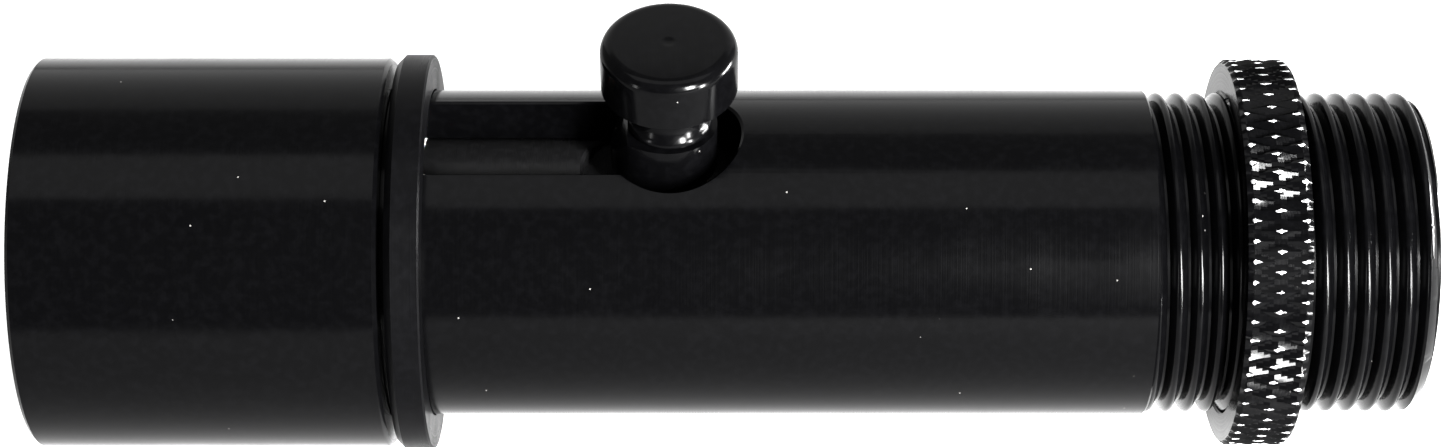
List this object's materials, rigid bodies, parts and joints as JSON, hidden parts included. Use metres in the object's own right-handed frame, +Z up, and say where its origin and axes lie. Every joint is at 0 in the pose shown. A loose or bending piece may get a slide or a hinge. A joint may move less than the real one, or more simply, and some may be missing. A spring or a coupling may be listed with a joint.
{
  "type": "laser collimator",
  "caption": "Black anodised beam-expanding laser collimator with a focusing knob in a keyhole slot, wide objective cell and threaded rear end with a knurled lock ring.",
  "frame": {"origin": "centre of the rear (threaded) end face, on the optical axis", "axes": "+X points out of the rear end along the optical axis, so the objective is at -X; +Z points up through the focusing knob; +Y completes the right-handed frame"},
  "size_m": [0.1372, 0.0396, 0.0473],
  "materials": {
    "gloss_black_metal": "gloss black anodised",
    "satin_black_metal": "satin black anodised",
    "matt_black_metal": "matt black anodised, against stray light",
    "optical_glass": "polished, anti-reflection coated",
    "white_plastic": "unfilled low-friction plastic",
    "brass": "turned",
    "bright_steel": "bright"
  },
  "bodies": {
    "barrel": {"main_barrel": "gloss_black_metal", "shoulder_ring": "satin_black_metal", "objective_cell": "gloss_black_metal", "objective_crown_lens": "optical_glass", "objective_spacer": "matt_black_metal", "objective_flint_lens": "optical_glass", "objective_retaining_ring": "matt_black_metal", "glare_stop": "matt_black_metal", "entrance_stop": "matt_black_metal", "rear_retaining_ring": "matt_black_metal"},
    "focus_slider": {"draw_tube": "satin_black_metal", "draw_tube_baffle": "matt_black_metal", "front_glide_ring": "white_plastic", "rear_glide_ring": "white_plastic", "input_lens_cell": "matt_black_metal", "input_lens": "optical_glass", "input_lens_retaining_ring": "matt_black_metal", "stud_bush": "brass", "knob_stud": "bright_steel"},
    "shoe": {"guide_shoe": "gloss_black_metal"},
    "knob": {"thumb_knob": "gloss_black_metal"},
    "brake": {"thread_brake": "white_plastic"},
    "ring": {"lock_ring": "gloss_black_metal"}
  },
  "joints": [
    {"name": "focus_slide", "type": "slide", "parent": "barrel", "child": "focus_slider", "axis": [1, 0, 0], "range_m": [-0.017, 0.002]},
    {"name": "shoe_lift", "type": "slide", "parent": "focus_slider", "child": "shoe", "axis": [0, 0, 1], "range_m": [0, 0.0007]},
    {"name": "knob_turn", "type": "hinge", "parent": "shoe", "child": "knob", "pos_m": [-0.0742, 0, 0.02], "axis": [0, 0, 1], "range_deg": [0, 360]},
    {"name": "lock_ring_travel", "type": "slide", "parent": "barrel", "child": "brake", "axis": [1, 0, 0], "range_m": [-0.007, 0.012]},
    {"name": "lock_ring_turn", "type": "hinge", "parent": "brake", "child": "ring", "pos_m": [-0.0161, 0, 0], "axis": [1, 0, 0], "range_deg": [-1260, 2160]}
  ],
  "couplings": [
    {"joint": "knob_turn", "follows": "shoe_lift", "rad_per_m": 8976},
    {"joint": "lock_ring_travel", "follows": "lock_ring_turn", "m_per_rad": 0.0003183}
  ]
}
